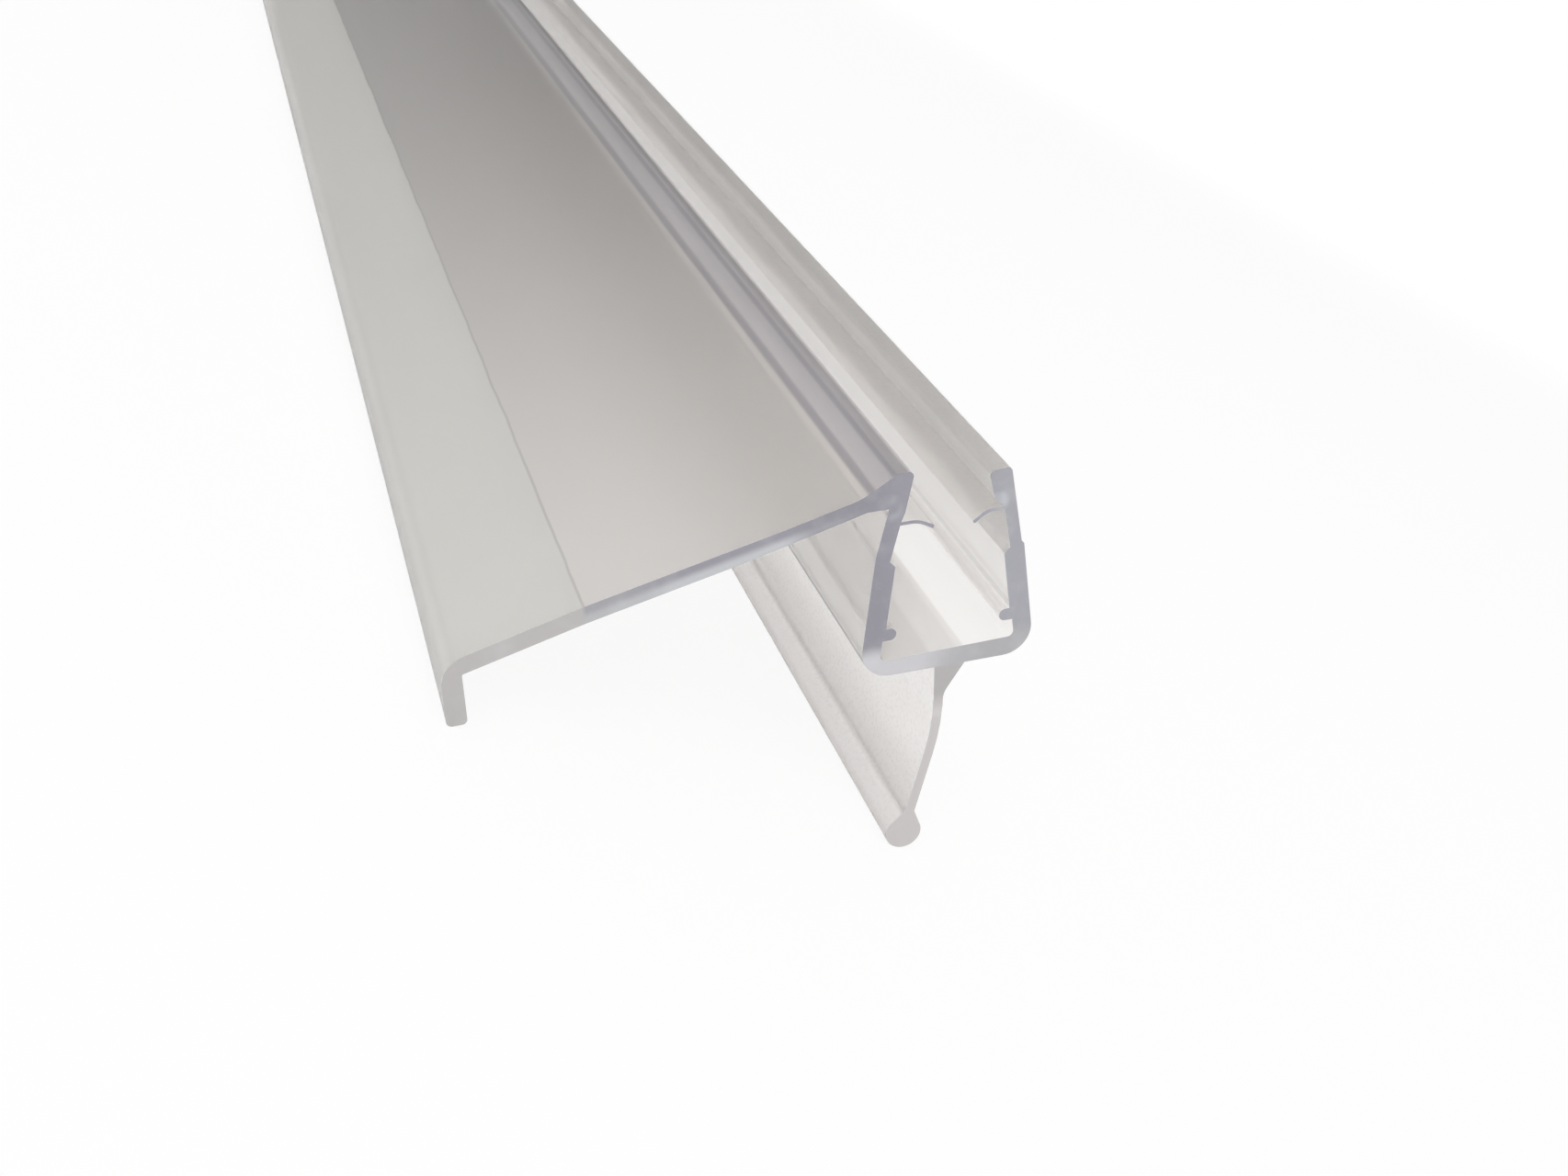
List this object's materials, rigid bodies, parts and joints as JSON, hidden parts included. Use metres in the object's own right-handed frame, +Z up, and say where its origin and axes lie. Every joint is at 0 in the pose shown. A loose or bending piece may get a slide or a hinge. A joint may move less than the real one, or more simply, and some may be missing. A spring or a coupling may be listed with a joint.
{
  "type": "shower door seal strip",
  "caption": "Straight length of clear plastic seal: channel that clips over a glass edge, wide drip wing with a turned-down lip, and a thin wiping fin ending in a round bead.",
  "frame": {"origin": "middle of the bounding box, on the floor the strip stands on", "axes": "+Y runs along the length of the strip, away from the end that the picture shows; +Z is up; the wing points to -X and down to the floor, and the channel's mouth opens upwards and towards -X"},
  "size_m": [0.0308, 1, 0.0238],
  "materials": {
    "clear_pvc": "clear satin plastic, slightly frosted along the thin fins and the wing's outer edge"
  },
  "bodies": {
    "root": {"seal_strip": "clear_pvc"}
  },
  "joints": []
}
